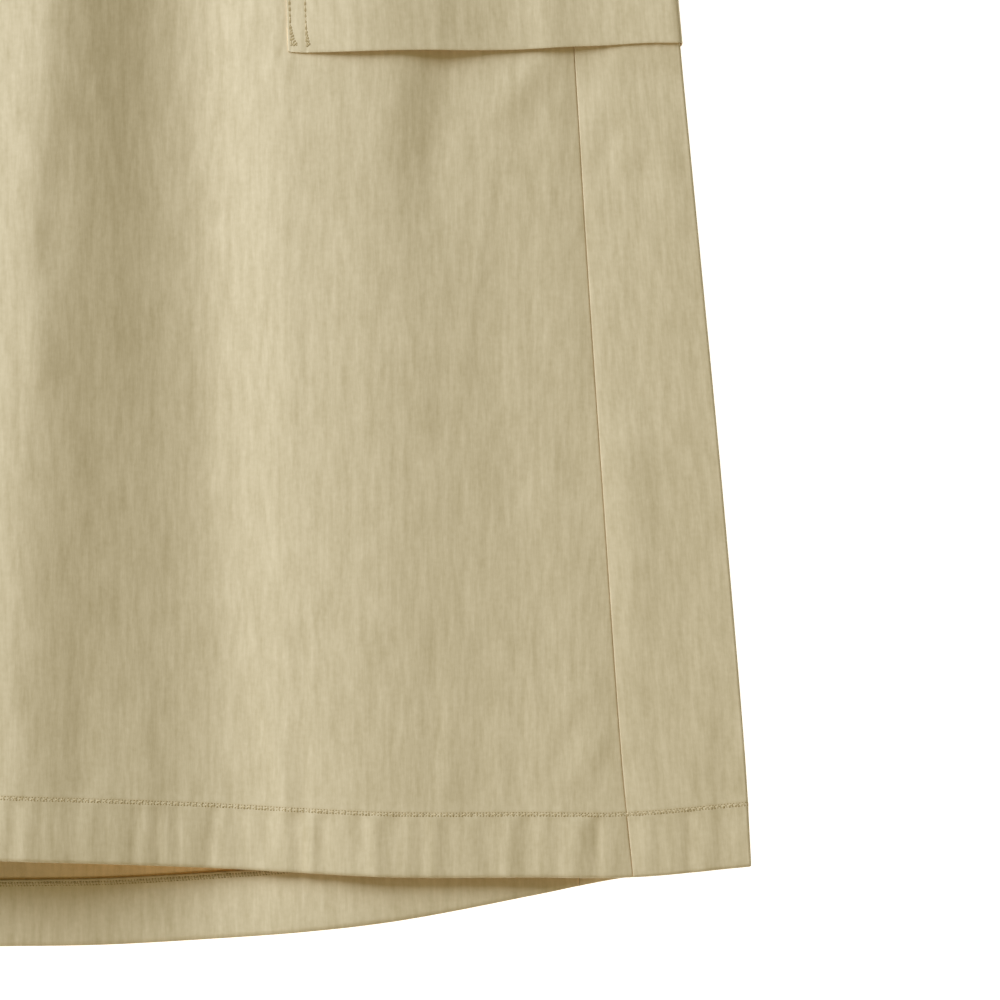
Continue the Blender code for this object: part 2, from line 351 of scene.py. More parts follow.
def front_face(across, share, fine=True):
    """The front's outer face, at shares of its half width and of its length."""
    y = edge_height(share, hem_at(across * half_widths["front_seam"][0], "front"))
    x = across * read(half_widths, y, "front_seam")
    z = flat_height + fold_rise(x, y) + gathered(across, y)
    z += hem_lift * np.exp(-(((x - lift_x) / lift_breadth) ** 2) - ((y - lift_y) / lift_length) ** 2)
    if fine:
        z += crease_rise(x, y, front_lines) + crease_rise(x, y, hem_lines, pucker_fade)
    return np.stack([x, y, z], -1)


# Pocket and flap, as shares of the panel's length, and how many layers they put between it and the table.
pocket_low, pocket_top, flap_low, flap_top, soft_edge = 0.4745, 0.752, 0.67, 0.764, 12 / panel_length
layers = columns(
    "share count",
    (pocket_low - soft_edge, 0),
    (pocket_low, 1),
    (flap_low - soft_edge, 1),
    (flap_low, 2),
    (pocket_top, 2),
    (flap_top, 1),
    (flap_top + soft_edge, 0),
)

# Shares of the side panel that lie on top and in the roll of its fold, and of the rest that the pocket covers.
top_part, roll_part, pocket_wrap = 0.4, 0.2, 0.8
fold_round, creases_end = 0.4, 1 / 6


def side_face(hand, part, share, fine=True):
    """The side panel's outer face: over the front, round the side fold and back under to its seam."""
    lift = pocket_layer * np.interp(share, layers["share"], layers["count"])
    seam, corner = half_widths["front_seam"][0], half_widths["fold"][0]

    over = np.clip(part / top_part, 0, 1)
    y = edge_height(share, hem_at(mix(seam, corner - side_turn, over), "front"))
    fold = read(half_widths, y, "fold")
    x = mix(read(half_widths, y, "front_seam"), fold - side_turn, over)
    z = flat_height + fold_rise(hand * x, y) + lift * ease(over)
    if fine:
        small = crease_rise(hand * x, y, front_lines) + crease_rise(hand * x, y, hem_lines, pucker_fade)
        z += small * ease((1 - over) / creases_end)
    face = np.stack([hand * x, y, z], -1)

    turn = math.pi * np.clip((part - top_part) / roll_part, 0, 1)
    full = side_turn * (1 - np.abs(np.sin(turn)) ** fold_round)
    y = edge_height(share, hem_at(corner - full, "front"))
    half_thick = (flat_height + fold_rise(0 * y + hand * corner, y)) / 2
    bulge = half_thick * np.sign(np.cos(turn)) * np.abs(np.cos(turn)) ** fold_round
    x = read(half_widths, y, "fold") - full
    rolled = np.stack([hand * x, y, lift + half_thick + bulge], -1)

    under = np.clip((part - top_part - roll_part) / (1 - top_part - roll_part), 0, 1)
    y = edge_height(share, hem_at(mix(corner - side_turn, half_widths["back_seam"][0], under), "back"))
    x = mix(read(half_widths, y, "fold") - side_turn, read(half_widths, y, "back_seam"), under)
    below = np.stack([hand * x, y, lift * np.clip((1 - under) / (1 - pocket_wrap), 0, 1)], -1)

    face = np.where((part > top_part)[..., None], rolled, face)
    return np.where((part > top_part + roll_part)[..., None], below, face)


back_lines = puckers(21, 240.0, "back", pitch=11.0, rise=0.16)
back_humps = [
    # x, y, half length, half breadth, rise
    (10.0, -350.0, 66.0, 26.0, 2.2),
    (128.0, -348.0, 34.0, 26.0, 4.4),
    (182.0, -350.0, 42.0, 21.0, 4.0),
    (132.0, -386.0, 40.0, 26.0, 5.6),
    (196.0, -376.0, 46.0, 20.0, 3.6),
    (-170.0, -330.0, 60.0, 18.0, 3.0),
]
hump_fade = 16.0


def back_face(across, share, fine=True):
    """The back's outer face, which lies on the table; some of its hem stands a little off it."""
    y = edge_height(share, hem_at(across * half_widths["back_seam"][0], "back"))
    x = across * read(half_widths, y, "back_seam")
    z = 0 * x
    if fine:
        for x0, y0, long, broad, tall in back_humps:
            z += tall * np.exp(-(((x - x0) / long) ** 2) - ((y - y0) / broad) ** 2)
        z *= ease((1 - np.abs(across)) * half_widths["back_seam"][0] / hump_fade)
        z += np.abs(crease_rise(x, y, back_lines, pucker_fade))
    return np.stack([x, y, z], -1)


def skin(turn, share, fine=True):
    """The outer face all round: front from -1 to 1, left side to 2, back to 4, right side to 5 or from -2."""
    turn, share = np.broadcast_arrays(turn, share)
    turn = (turn + 2) % 6 - 2
    face = np.empty(turn.shape + (3,))
    for place, make in (
        (np.abs(turn) <= 1, lambda t, v: front_face(t, v, fine)),
        ((turn > 1) & (turn <= 2), lambda t, v: side_face(1, t - 1, v, fine)),
        (turn > 2, lambda t, v: back_face(3 - t, v, fine)),
        (turn < -1, lambda t, v: side_face(-1, -1 - t, v, fine)),
    ):
        if place.any():
            face[place] = make(turn[place], share[place])
    return face


def directions(turn, share, fine=True):
    """The face's directions round and up at each point, and its outward normal."""
    step, rise = 0.002, 0.0008
    round_way = skin(turn + step, share, fine) - skin(turn - step, share, fine)
    up_way = skin(turn, share + rise, fine) - skin(turn, share - rise, fine)
    outward = np.cross(round_way, up_way)
    return [way / np.linalg.norm(way, axis=-1, keepdims=True) for way in (round_way, up_way, outward)]


def spread(start, end, pitch):
    """Even places from start to end, at most a pitch apart."""
    return np.linspace(start, end, max(2, math.ceil(abs(end - start) / pitch) + 1))


# Columns beside a seam, as distances in from it, and how deep its edge dips there, more so where nothing is
# pressed under it. The turned-up layers inside dip less.
seam_steps = np.array([0.0, 0.12, 0.28, 0.5, 0.9, 1.6, 2.7, 4.2])
seam_dip, pressed_seam_dip, inner_dip, seam_soft = 0.34, 0.14, 0.6, 0.24
cloth_wall, hem_depth = 0.40, 1.4


def turned_hem(rows, stitch=hem_stitch):
    """Rows of a piece whose hem is turned up twice: share up the panel, reach below its edge, depth inside."""
    turn, roll = stitch + turned_over, hem_depth / 2
    # Height over the edge, with the depth as a share of the hem's: the tucked-in edge, then the cloth over it.
    tuck = [(turn - 5.0, 0.45), (turn - 1.5, 0.45), (turn - 0.2, 0.5), (turn, 0.75)]
    inner = [turn - 0.5, turn - 1.1, stitch + 0.4, stitch, stitch - 0.4, 21.5, 18.0, 13.0, 8.0, 4.0, 1.5]
    path = [(at / panel_length, 0.0, deep * hem_depth) for at, deep in tuck + [(at, 1.0) for at in inner]]
    for angle in np.linspace(0, math.pi, 7)[1:-1]:
        path.append((roll / panel_length, roll * math.sin(angle) + roll, roll * (1 + math.cos(angle))))
    return np.array(path + [(at, 0.0, 0.0) for at in rows])


def woven(name, points, cloth_place, materials, wall=cloth_wall):
    """A cut piece of cloth: its face as a grid in millimetres, with its wall on the inside and its grain as UVs."""
    rows, across = points.shape[:2]
    index = np.arange(rows * across).reshape(rows, across)
    quads = np.stack([index[:-1, :-1], index[:-1, 1:], index[1:, 1:], index[1:, :-1]], -1).reshape(-1, 4)
    mesh = bpy.data.meshes.new(name)
    mesh.from_pydata((points.reshape(-1, 3) * mm).tolist(), [], quads.tolist())
    grain = mesh.uv_layers.new(name="grain")
    corner = np.empty(len(mesh.loops), np.int32)
    mesh.loops.foreach_get("vertex_index", corner)
    grain.data.foreach_set("uv", (cloth_place.reshape(-1, 2) * mm)[corner].ravel())
    for material in materials:
        mesh.materials.append(material)
    mesh.shade_smooth()
    piece = bpy.data.objects.new(name, mesh)
    bpy.context.scene.collection.objects.link(piece)
    thick = piece.modifiers.new("wall", "SOLIDIFY")
    thick.thickness, thick.offset = wall * mm, -1.0
    thick.material_offset = len(materials) - 1
    return piece


def cotton(name, colour, painted_narrow_light):
    """Piece-dyed cotton poplin with slub yarns along the grain.

    Real threads, 0.25 mm apart, are finer than a render shows, so the slubs are drawn 3 mm wide and 18 mm long,
    some much longer, with a trace of cross threads. Plain weave is matt; its fuzz lightens the edges. In narrow
    places, which ambient occlusion finds, the base colour is painted lighter and warmer: painted light, standing in
    for light that bounces between the thin layers of cloth and passes through them.
    """
    material = bpy.data.materials.new(name)
    material.use_nodes = True
    tree = material.node_tree
    shader = tree.nodes["Principled BSDF"]
    shader.inputs["Roughness"].default_value = 0.7
    shader.inputs["Specular IOR Level"].default_value = 0.8
    shader.inputs["Sheen Weight"].default_value = 0.25
    shader.inputs["Sheen Roughness"].default_value = 0.4
    grain = add(tree, "ShaderNodeUVMap", uv_map="grain").outputs["UV"]

    def threads(size_x, size_y, detail, roughness):
        """Noise stretched to a thread's breadth and length, in millimetres."""
        place = add(tree, "ShaderNodeMapping", {"Vector": grain, "Scale": (1000 / size_x, 1000 / size_y, 1.0)})
        noise = {"Vector": place.outputs[0], "Scale": 1.0, "Detail": detail, "Roughness": roughness}
        return add(tree, "ShaderNodeTexNoise", noise, noise_dimensions="2D").outputs["Fac"]

    slubs = threads(3.0, 18.0, 3.0, 0.66)
    long_slubs = threads(5.0, 110.0, 2.0, 0.5)
    weft = threads(2.4, 2.0, 2.0, 0.5)
    patches = threads(14.0, 30.0, 3.0, 0.6)

    def plus(first, second, weight):
        part = add(tree, "ShaderNodeMath", {0: second, 1: -0.5}, operation="ADD").outputs[0]
        return add(tree, "ShaderNodeMath", {0: part, 1: weight, 2: first}, operation="MULTIPLY_ADD").outputs[0]

    tone = plus(0.0, slubs, 0.42)
    tone = plus(tone, long_slubs, 0.14)
    tone = plus(tone, weft, 0.15)
    tone = plus(tone, patches, 0.15)
    red, green, blue = linear(colour)[:3]
    slub_tint = (0.9 * red, green, 1.4 * blue)
    streaks = add(tree, "ShaderNodeVectorMath", {0: slub_tint, "Scale": tone}, operation="SCALE")
    dyed = add(tree, "ShaderNodeVectorMath", {0: streaks.outputs[0], 1: (red, green, blue)}).outputs[0]
    # Painted light: where ambient occlusion finds a narrow place, the base colour is made lighter and warmer.
    open_share = add(tree, "ShaderNodeAmbientOcclusion", {"Distance": 0.022}, samples=4).outputs["AO"]
    narrow = add(tree, "ShaderNodeMath", {0: 1.0, 1: open_share}, operation="SUBTRACT").outputs[0]
    painted_glow = add(tree, "ShaderNodeVectorMath", {0: painted_narrow_light, "Scale": narrow}, operation="SCALE").outputs[0]
    dyed = add(tree, "ShaderNodeVectorMath", {0: painted_glow, 1: dyed, 2: dyed}, operation="MULTIPLY_ADD").outputs[0]
    tree.links.new(dyed, shader.inputs["Base Color"])

    relief = plus(slubs, weft, 0.15)
    bump = add(tree, "ShaderNodeBump", {"Height": relief, "Strength": 0.5, "Distance": 0.00018})
    tree.links.new(bump.outputs[0], shader.inputs["Normal"])
    return material


# Both sides get painted light in narrow places; the reverse, which lines the gaps between the layers, gets more of
# it, standing in for light that passes through the cloth.
poplin_face = cotton("cotton_poplin_face", "#B5AB8A", painted_narrow_light=(0.45, 0.2, 0.02))
poplin_reverse = cotton("cotton_poplin_reverse", "#B9AA83", painted_narrow_light=(1.4, 0.95, 0.58))
poplin = [poplin_face, poplin_reverse]

# Columns and rows lie closer together on the wearer's left and low down, and closest at the seams, at the end of
# the pocket and at the hem's stitches.
front_seam_reach = half_widths["front_seam"][0]
front_across = np.concatenate([
    seam_steps - front_seam_reach,
    spread(-front_seam_reach + 7.0, -2.0, 4.6),
    spread(0.0, 121.0, 2.1),
    spread(122.2, 127.0, 0.6),
    spread(129.0, front_seam_reach - 6.2, 2.1),
    front_seam_reach - seam_steps[::-1],
]) / front_seam_reach
stitch_steps = np.array([-1.9, -1.3, -0.85, -0.5, -0.2, 0.2, 0.5, 0.85, 1.3, 1.9])
front_rows = np.concatenate([
    [0.8, 1.8, 3.4],
    spread(5.4, hem_stitch - 3.2, 2.4),
    hem_stitch + stitch_steps,
    spread(hem_stitch + 3.4, 376.0, 2.4),
    spread(381.0, panel_length - 4.0, 5.0),
    [panel_length, panel_length + 3.0],
]) / panel_length


def ditch(distance, deep=seam_dip):
    """How far a seam edge dips at a distance from its seam."""
    return deep * np.exp(-((distance / seam_soft) ** 1.5))


def valley(distance, deep, wide):
    """How far the cloth sinks towards a seam, which lies in a shallow valley."""
    return deep * np.maximum(1 - distance / wide, 0.0) ** 2


def groove(away, deep=0.12, soft=0.7):
    """How far a row of stitches pulls the cloth in, at a distance from the row."""
    return deep * np.exp(-((away / soft) ** 2))


def welt(away, tall=0.12, wide=2.4):
    """How far the layers of a turned hem lift the cloth, at a distance from its row of stitches."""
    return tall * np.exp(-((away / wide) ** 2))


def panel(turns, path, edge_distance, stitch=hem_stitch, dip=seam_dip, sink=(0.8, 17.0)):
    """Points of a panel on the skin, moved in at its seams, its stitch line and the layers of its hem.

    The valley that it sinks into at its seams is given as how deep and how wide.
    """
    turn, share = np.meshgrid(turns, path[:, 0])
    face = skin(turn, np.minimum(share, 1.0))
    round_way, up_way, outward = directions(turn, np.clip(share, 0.002, 0.998))
    outer = path[:, 2:3] == 0
    inward = path[:, 2:3] + ditch(edge_distance, dip) * np.where(outer, 1.0, inner_dip)
    from_row = share * panel_length - stitch
    inward += (groove(from_row) - welt(from_row)) * outer + valley(edge_distance, *sink)
    over = np.maximum(share - 1.0, 0.0) * panel_length
    return face + up_way * (over - path[:, 1:2])[..., None] - outward * inward[..., None]


sewn_rows, edge_rows, tacked_rows = [], [], []


def sew(points, rows, places, kind=sewn_rows):
    """Notes a sewn line at rows and places across a piece's grid, whole or not: its points and the way out."""
    outward = np.cross(np.gradient(points, axis=1), np.gradient(points, axis=0))
    outward /= np.linalg.norm(outward, axis=-1, keepdims=True)
    rows, places = np.broadcast_arrays(np.asarray(rows, float), np.asarray(places, float))
    row = np.minimum(rows.astype(int), points.shape[0] - 2)
    column = np.minimum(places.astype(int), points.shape[1] - 2)
    up, along = (rows - row)[:, None], (places - column)[:, None]
    line = []
    for field in (points, outward):
        lower = mix(field[row, column], field[row, column + 1], along)
        upper = mix(field[row + 1, column], field[row + 1, column + 1], along)
        line.append(mix(lower, upper, up))
    kind.append(line)


def nearest(distance, kept):
    """The row with the least distance among those kept."""
    return np.argmin(np.where(kept, np.abs(distance), np.inf))


def sew_hem(points, path, stitch=hem_stitch):
    """Notes a hem's row of stitches, on its face and on the turned-up cloth inside."""
    for inside in (False, True):
        row = nearest(path[:, 0] * panel_length - stitch, (path[:, 2] > 0) == inside)
        sew(points, row, np.arange(points.shape[1]))


waist_tuck = 1.2
front_path = turned_hem(front_rows)
front_points = panel(front_across, front_path, (1 - np.abs(front_across)) * front_seam_reach)
front_points[front_path[:, 0] > 1] -= (0.0, 0.0, waist_tuck)
sew_hem(front_points, front_path)

# Over the hips the cut narrows less than the gathered cloth lies. The other pieces are cut further along the bolt
# of cloth, so that no two show the same threads.
hips, hip_half_width, hip_taper = 180.0, 215.0, 0.25
side_on_bolt, back_on_bolt, band_on_bolt, pocket_on_bolt, pocket_rows_on_bolt = 600, 1500, 900, 3000, 4000


def grain_width(across, points):
    """Place across the cut cloth: as it lies, but wider where the gathers take it up."""
    y = points[..., 1]
    cut = np.where(y > hips, hip_half_width - (y - hips) * hip_taper, read(half_widths, y, "front_seam"))
    return np.broadcast_to(across, y.shape) * cut


front_grain = np.stack([grain_width(front_across, front_points), front_points[..., 1] - 2 * front_path[:, 2:3]], -1)
front = woven("front_panel", front_points, front_grain, poplin)
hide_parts("front")
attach(front, "root")

# ---- Side panels ----------------------------------------------------------------------------------------------
# A long narrow piece on each side, of the same poplin. It wraps round the side fold from the front's seam to the
# back's. Its seam lies in a shallow valley, and the allowances pressed under it keep its edge a little proud.

top_reach = half_widths["fold"][0] - side_turn - front_seam_reach
under_part, under_reach, roll_length, under_length = 1 - top_part - roll_part, 65.8, 10, 66
side_parts = np.concatenate([
    seam_steps / top_reach * top_part,
    spread(6.2, top_reach - 1.6, 2.1) / top_reach * top_part,
    (top_reach - np.array([0.8, 0.3])) / top_reach * top_part,
    top_part + roll_part * np.linspace(0, 1, 11),
    top_part + roll_part + spread(4.5, 61.0, 4.5) / under_reach * under_part,
    1 - seam_steps[::-1][1:] / under_reach * under_part,
])


def side_distance(part):
    """Distance from the nearer seam, in millimetres, at a share round the side panel."""
    over = part / top_part * top_reach
    under = (1 - part) / under_part * under_reach
    return np.minimum(over, under)


def side_width(part):
    """Place across the cut side panel."""
    parts = [0, top_part, top_part + roll_part, 1]
    return np.interp(part, parts, np.cumsum([0, top_reach, roll_length, under_length]))


for hand, name in ((1, "left"), (-1, "right")):
    turns = 1 + side_parts if hand > 0 else -1 - side_parts[::-1]
    parts = side_parts if hand > 0 else side_parts[::-1]
    points = panel(turns, front_path, side_distance(parts), dip=pressed_seam_dip, sink=(0.62, 11.0))
    sew_hem(points, front_path)
    grain = np.stack([
        np.broadcast_to(hand * side_width(parts) + side_on_bolt * hand, points.shape[:2]),
        points[..., 1] - 2 * front_path[:, 2:3],
    ], -1)
    side = woven(f"side_panel_{name}", points, grain, poplin)
    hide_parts(f"side_{name}")
    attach(side, "root")

# ---- Back panel -----------------------------------------------------------------------------------------------
# The back lies under everything, face down on the table, and its hem dips below the front's, so the turned-up
# hem inside it shows. Same poplin, with the reverse of the cloth upwards.

back_reach = half_widths["back_seam"][0]
back_across = np.concatenate([
    seam_steps - back_reach,
    spread(-back_reach + 7.0, 0.0, 4.5),
    spread(3.0, back_reach - 6.2, 3.0),
    back_reach - seam_steps[::-1],
]) / back_reach
back_rows = np.concatenate([
    [0.8, 1.8, 3.4],
    spread(5.4, back_stitch - 3.2, 2.4),
    back_stitch + stitch_steps,
    spread(back_stitch + 3.4, 60.0, 2.4),
    spread(66.0, panel_length - 4.0, 7.0),
    [panel_length, panel_length + 3.0],
]) / panel_length
back_path = turned_hem(back_rows, back_stitch)
back_distance = (1 - np.abs(back_across)) * back_reach
back_points = panel(3 - back_across[::-1], back_path, back_distance, back_stitch, sink=(0.0, 1.0))
# The table keeps the cloth up.
back_points[..., 2] = np.maximum(back_points[..., 2], 0.0)
sew_hem(back_points, back_path, back_stitch)
back_grain = np.stack([
    np.broadcast_to(back_across[::-1] * back_reach + back_on_bolt, back_points.shape[:2]),
    back_points[..., 1] - 2 * back_path[:, 2:3],
], -1)
back = woven("back_panel", back_points, back_grain, poplin)
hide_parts("back")
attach(back, "root")

# ---- Waistband ------------------------------------------------------------------------------------------------
# A casing of the same poplin folded over wide elastic, with no opening: the elastic gathers it and the panels
# under it. Two rows of stitches hold the elastic flat.

band_turns = np.concatenate([
    spread(-1, 1, 2 / 200),
    spread(1, 2, 1 / 44)[1:],
    spread(2, 4, 2 / 140)[1:],
    spread(4, 5, 1 / 44)[1:],
])
# The casing's rows, from its inner edge over the top to its outer one: share up the band, and depth inside.
casing_half, row_pull, small_rise, small_waves, small_sway = 1.2, 0.3, 0.35, 150, 17
band_path = [(at, casing_half * 2) for at in (1.02, *np.linspace(1.06, 1.94, 9))]
for angle in np.linspace(0, math.pi, 7)[1:-1]:
    band_path.append((1.95 + 0.05 * math.sin(angle), casing_half * (1 + math.cos(angle))))
band_path += [(at, 0.0) for at in np.linspace(1.94, 1.06, 14)] + [(1.02, 0.1), (0.998, 0.5)]
band_path = np.array(band_path)[::-1]
turn, share = np.meshgrid(band_turns, band_path[:, 0])
band_points = skin(turn, share, fine=False)
band_outward = directions(turn, np.clip(share, 1.01, 1.96), fine=False)[2]
rows_of_stitches = (1.25, 1.75)
pull = sum(row_pull * np.exp(-(((share - at) * band_depth) ** 2)) for at in rows_of_stitches)
small_gathers = small_rise * np.sin(turn * small_waves + 2 * np.sin(turn * small_sway))
inward = band_path[:, 1:2] + (pull - small_gathers) * (band_path[:, 1:2] < casing_half)
band_points -= band_outward * inward[..., None]
for at in rows_of_stitches:
    sew(band_points, nearest(band_path[:, 0] - at, band_path[:, 1] == 0), np.arange(len(band_turns)))
band_half_cut = 220
band_grain = np.stack([turn * band_half_cut, share * band_depth - 2 * band_path[:, 1:2] + band_on_bolt], -1)
waistband = woven("elastic_waistband", band_points, band_grain, poplin)
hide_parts("waistband")
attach(waistband, "root")

# ---- Pockets --------------------------------------------------------------------------------------------------
# Two large cargo pockets of the same poplin, each sewn over the front's seam and wrapped round the side fold.
# Their ends are turned in and sewn down with two rows; the lower edge is folded and stands off the skirt.

pocket_start, turned_depth, end_round, pocket_wall, sewn_down = 0.5024, 0.42, 0.8, 0.25, 0.1
end_rows = (1.4, 7.6)

# Millimetres to one unit of turn at the pocket's height, on the front and on the part that lies under the side;
# and the length of cloth from the front's seam to the side fold.
front_turn, under_turn, over_length = 228.0, 165.0, 40.0


def along_pocket(turn):
    """Distance along the cloth from the pocket's end on the front."""
    turns = [0, 1, 1 + top_part, 1 + top_part + roll_part, 2]
    return np.interp(turn, turns, np.cumsum([-front_turn / 2, front_turn, over_length, roll_length, under_length]))


# The pocket's lower edge, as it hangs: how far it lies above its straight line, and how far it stands off.
pocket_edge = columns(
    "away lift stand",
    (0.0, -2.3, -0.6),
    (3.0, -2.7, -0.5),
    (7.0, -2.8, -0.3),
    (18.0, -2.4, 0.5),
    (30.0, -1.9, 1.1),
    (44.0, -1.4, 1.2),
    (58.0, -1.2, 1.3),
    (72.0, -1.3, 1.2),
    (90.0, -0.9, 0.7),
    (112.0, 0.3, 0.8),
    (126.0, 0.3, 0.1),
    (142.0, 0.3, -0.1),
    (164.0, -0.8, 0.0),
    (230.0, 0.0, 0.0),
)

# Zigzags of reinforcing stitches in the lower corners: places in from the pocket's end, and up from its edge.
pocket_corner = [
    [(1.5, 8.4), (2.0, 6.0), (2.7, 3.9), (3.9, 2.4), (1.4, 2.2)],
    [(1.5, 6.4), (2.1, 3.9), (3.0, 2.6)],
    [(1.5, 4.2), (2.1, 2.7)],
    [(7.7, 7.0), (8.2, 4.6), (8.6, 2.4), (7.8, 2.2)],
    [(7.7, 5.4), (8.2, 3.0)],
]


def turned_edges(rows, low, top):
    """Rows of a piece whose lower and upper edges are turned in: share up the panel, reach past it, depth inside."""
    inside_low, inside_top, roll = (8, 3), (4, 10), turned_depth / 2
    path = [(low + at / panel_length, 0.0, turned_depth) for at in inside_low]
    for angle in np.linspace(0, math.pi, 6):
        path.append((low + roll / panel_length, roll * math.sin(angle), roll * (1 + math.cos(angle))))
    path += [(at, 0.0, 0.0) for at in rows]
    for angle in np.linspace(0, math.pi, 6):
        path.append((top - roll / panel_length, -roll * math.sin(angle), roll * (1 - math.cos(angle))))
    path += [(top - at / panel_length, 0.0, turned_depth) for at in inside_top]
    return np.array(path)


def patch_turns(reach_past):
    """Places round the skirt where a pocket or flap has its columns: close together at its sewn ends."""
    close = np.array([0.0, 0.25, 0.6, 0.9, 1.1, 1.3, 1.6, 2.1, 3.0, 4.5, 6.0, 6.9, 7.3, 7.6, 7.9, 8.3, 9.2])
    beside = 10.5
    start = pocket_start - reach_past / front_turn
    end = 1 + top_part + roll_part + under_part * pocket_wrap
    return np.concatenate([
        start + close / front_turn,
        spread(start + beside / front_turn, 1.0, 2.1 / front_turn),
        spread(1.0, 1 + top_part, top_part / 18)[1:],
        1 + top_part + roll_part * np.linspace(0, 1, 11)[1:],
        spread(1 + top_part + roll_part, end - beside / under_turn, 4.0 / under_turn)[1:],
        end - close[::-1] / under_turn,
    ])


def patch(name, hand, path, stand_off, rows_across=(), reach_past=0.0, lines=(), corners=()):
    """A pocket or flap laid over front and side panel, its ends turned in and sewn down with two rows."""
    turns = patch_turns(reach_past)
    turn, share = np.meshgrid(turns, path[:, 0])
    round_way, up_way, outward = directions(turn * hand, share, fine=False)
    face = skin(turn * hand, share, fine=False)
    away = along_pocket(turn)
    from_end = np.minimum(away - away[0, 0], away[0, -1] - away)
    off, lift = stand_off(share, away)
    end = np.clip(1 - from_end / end_round, 0, 1)
    off = sewn_down + (off - sewn_down) * np.sqrt(np.clip(1 - end**2, 0, 1))
    outer = path[:, 2:3] == 0
    for at in end_rows:
        off -= groove(from_end - at) * outer
    for at in rows_across:
        off -= groove((share - at) * panel_length) * outer
    points = face + outward * (off - path[:, 2:3])[..., None] + up_way * (lift - path[:, 1:2])[..., None]
    if lines:
        points[..., 2] += np.where(turn < 1 + top_part, crease_rise(points[..., 0], points[..., 1], lines), 0.0)
    grain = np.stack([away + pocket_on_bolt * hand, points[..., 1] + pocket_rows_on_bolt * path[0, 0]], -1)
    across = along_pocket(turns) - along_pocket(turns[0])
    if hand < 0:
        points, grain, across = points[:, ::-1], grain[:, ::-1], across[::-1]
    face_rows = np.flatnonzero(path[:, 2] == 0)
    for at in end_rows:
        for place in (at, across.max() - at):
            sew(points, face_rows[2:-1], np.argmin(np.abs(across - place)), edge_rows)
    for at in rows_across:
        sew(points, nearest(path[:, 0] - at, outer[:, 0]), np.arange(len(across)))
    rows_up = (path[face_rows, 0] - path[face_rows[0], 0]) * panel_length
    for corner in corners:
        in_from_end, up_from_edge = np.array(corner).T
        for place in (in_from_end, across.max() - in_from_end):
            column = np.interp(place * hand, across * hand, np.arange(len(across)))
            sew(points, np.interp(up_from_edge, rows_up, face_rows), column, tacked_rows)
    return woven(name, points, grain, poplin, wall=pocket_wall)


def pocket_off(share, away):
    """How far the pocket stands off the skirt, and how far it is lifted, which dies out above its lower edge."""
    above = np.maximum(share - pocket_low, 0.0) * panel_length
    down = (pocket_top - share) / (pocket_top - pocket_low)
    at_mouth, lift_reach = 0.2, 14.0
    stand = read(pocket_edge, away, "stand") * mix(at_mouth, 1.0, ease(down) ** 2)
    return pocket_layer + stand, read(pocket_edge, away, "lift") * np.clip(1 - above / lift_reach, 0, 1)


pocket_rows = np.concatenate([
    pocket_low + spread(1.2, 50.0, 2.0) / panel_length,
    spread(pocket_low + 54 / panel_length, pocket_top - 4 / panel_length, 4 / panel_length),
])
pocket_lines = scattered(31, 60, ((100, 290), (-40, 190)), (20, 90), (3.0, 8.0), 0.16, 0.10)
for hand, name in ((1, "left"), (-1, "right")):
    lines = [(hand * x0, y0, hand * x1, y1, broad, hand * tall) for x0, y0, x1, y1, broad, tall in pocket_lines]
    path = turned_edges(pocket_rows, pocket_low, pocket_top)
    pocket = patch(f"cargo_pocket_{name}", hand, path, pocket_off, lines=lines, corners=pocket_corner)
    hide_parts(f"pocket_{name}")
    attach(pocket, "root")

# ---- Pocket flaps ---------------------------------------------------------------------------------------------
# A plain flap of the same poplin, doubled, closes each pocket's mouth: sewn on along its top with two rows, and
# loose at its lower edge, which is topstitched.

flap_overhang = 3.0
flap_sewn = [flap_low + 6.4 / panel_length] + [flap_top - at / panel_length for at in reversed(end_rows)]
flap_rows = np.unique(np.round(np.concatenate(
    [flap_low + spread(1.2, 62.0, 2.6) / panel_length] + [at + stitch_steps / panel_length for at in flap_sewn]
), 6))


def flap_off(share, away):
    """The flap lies on the pocket, and comes down to the skirt where it is sewn above the pocket's mouth."""
    return pocket_layer * (2 - ease((share - pocket_top) / (flap_top - pocket_top))), 0 * away


for hand, name in ((1, "left"), (-1, "right")):
    path = turned_edges(flap_rows, flap_low, flap_top)
    flap = patch(f"pocket_flap_{name}", hand, path, flap_off, flap_sewn, flap_overhang)
    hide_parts(f"flap_{name}")
    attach(flap, "root")

# ---- Stitching ------------------------------------------------------------------------------------------------
# Lockstitch in core-spun polyester thread of the cloth's colour, 2.4 mm a stitch. Each stitch lies in its row's
# groove. Where the needle tucks the cloth between one stitch and the next and dents it beside them, small dark beads
# are painted shade.

# Polyester thread is smoother than the cloth, so it shines a little more.
thread = bpy.data.materials.new("polyester_sewing_thread")
thread.use_nodes = True
shader = thread.node_tree.nodes["Principled BSDF"]
shader.inputs["Base Color"].default_value = linear("#B3A783")
shader.inputs["Roughness"].default_value = 0.55
twist = add(thread.node_tree, "ShaderNodeTexCoord").outputs["Object"]
# Twist of the thread, really 0.3 mm a turn: noise of 0.4 mm stands in for it.
fibres = add(thread.node_tree, "ShaderNodeTexNoise", {"Vector": twist, "Scale": 1 / 0.0004, "Detail": 2.0})
raised = {"Height": fibres.outputs["Fac"], "Strength": 0.4, "Distance": 0.0001}
bump = add(thread.node_tree, "ShaderNodeBump", raised)
thread.node_tree.links.new(bump.outputs[0], shader.inputs["Normal"])

# Painted shade: the cloth's colour, darker and matt, on beads laid where the needle draws the cloth into a dent that
# faces away from the light.
tuck = bpy.data.materials.new("shaded_needle_tuck")
tuck.use_nodes = True
shader = tuck.node_tree.nodes["Principled BSDF"]
shader.inputs["Base Color"].default_value = linear("#978963")
shader.inputs["Roughness"].default_value = 0.95

